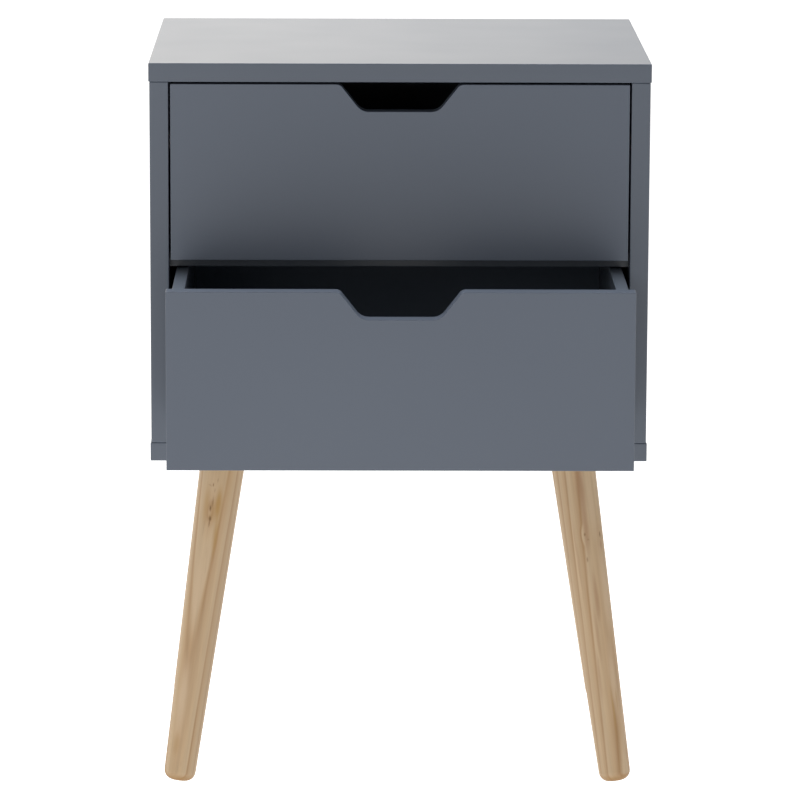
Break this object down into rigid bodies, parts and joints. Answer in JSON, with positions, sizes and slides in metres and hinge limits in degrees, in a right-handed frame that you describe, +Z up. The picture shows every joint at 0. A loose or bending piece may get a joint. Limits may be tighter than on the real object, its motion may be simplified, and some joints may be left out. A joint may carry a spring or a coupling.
{
  "type": "nightstand with drawers",
  "caption": "Painted nightstand with inset drawers on side runners, finger cut-outs in the drawer fronts, and splayed turned pine legs.",
  "frame": {"origin": "on the floor, at the middle of the bounding box seen from above, with the lower drawer drawn out by 118 mm as it stands at rest", "axes": "+Z up, the drawers face -Y and +X is to the right for someone who faces the drawers"},
  "size_m": [0.4, 0.438, 0.594],
  "materials": {
    "painted_board": "satin blue-grey paint on board",
    "drawer_board": "satin blue-grey paint on thinner board",
    "back_board": "matt blue-grey paint on hardboard",
    "pine": "clear matt lacquer on turned pine",
    "plate_steel": "zinc-plated pressed steel",
    "zinc": "bright zinc plating",
    "runner_nylon": "smooth off-white nylon"
  },
  "bodies": {
    "cabinet": {"top_board": "painted_board", "bottom_board": "painted_board", "left_side_board": "painted_board", "right_side_board": "painted_board", "divider_board": "painted_board", "back_board": "back_board", "upper_left_runner": "runner_nylon", "upper_right_runner": "runner_nylon", "lower_left_runner": "runner_nylon", "lower_right_runner": "runner_nylon", "connecting_screw_front_left": "zinc", "connecting_screw_front_right": "zinc", "connecting_screw_rear_left": "zinc", "connecting_screw_rear_right": "zinc", "cam_front_left": "zinc", "cam_front_right": "zinc", "cam_rear_left": "zinc", "cam_rear_right": "zinc", "cam_bolt_front_left": "zinc", "cam_bolt_front_right": "zinc", "cam_bolt_rear_left": "zinc", "cam_bolt_rear_right": "zinc", "front_left_leg": "pine", "front_right_leg": "pine", "rear_left_leg": "pine", "rear_right_leg": "pine", "front_left_leg_bolt": "zinc", "front_right_leg_bolt": "zinc", "rear_left_leg_bolt": "zinc", "rear_right_leg_bolt": "zinc", "front_left_leg_plate": "plate_steel", "front_right_leg_plate": "plate_steel", "rear_left_leg_plate": "plate_steel", "rear_right_leg_plate": "plate_steel", "front_left_plate_screw_front_left": "zinc", "front_left_plate_screw_front_right": "zinc", "front_left_plate_screw_rear_left": "zinc", "front_left_plate_screw_rear_right": "zinc", "front_right_plate_screw_front_left": "zinc", "front_right_plate_screw_front_right": "zinc", "front_right_plate_screw_rear_left": "zinc", "front_right_plate_screw_rear_right": "zinc", "rear_left_plate_screw_front_left": "zinc", "rear_left_plate_screw_front_right": "zinc", "rear_left_plate_screw_rear_left": "zinc", "rear_left_plate_screw_rear_right": "zinc", "rear_right_plate_screw_front_left": "zinc", "rear_right_plate_screw_front_right": "zinc", "rear_right_plate_screw_rear_left": "zinc", "rear_right_plate_screw_rear_right": "zinc"},
    "upper_drawer": {"upper_drawer_front": "painted_board", "upper_drawer_left_side": "drawer_board", "upper_drawer_right_side": "drawer_board", "upper_drawer_back": "drawer_board", "upper_drawer_bottom": "drawer_board"},
    "lower_drawer": {"lower_drawer_front": "painted_board", "lower_drawer_left_side": "drawer_board", "lower_drawer_right_side": "drawer_board", "lower_drawer_back": "drawer_board", "lower_drawer_bottom": "drawer_board"}
  },
  "joints": [
    {"name": "upper_drawer_slide", "type": "slide", "parent": "cabinet", "child": "upper_drawer", "axis": [0, -1, 0], "range_m": [0, 0.2]},
    {"name": "lower_drawer_slide", "type": "slide", "parent": "cabinet", "child": "lower_drawer", "axis": [0, -1, 0], "range_m": [-0.118, 0.082]}
  ]
}
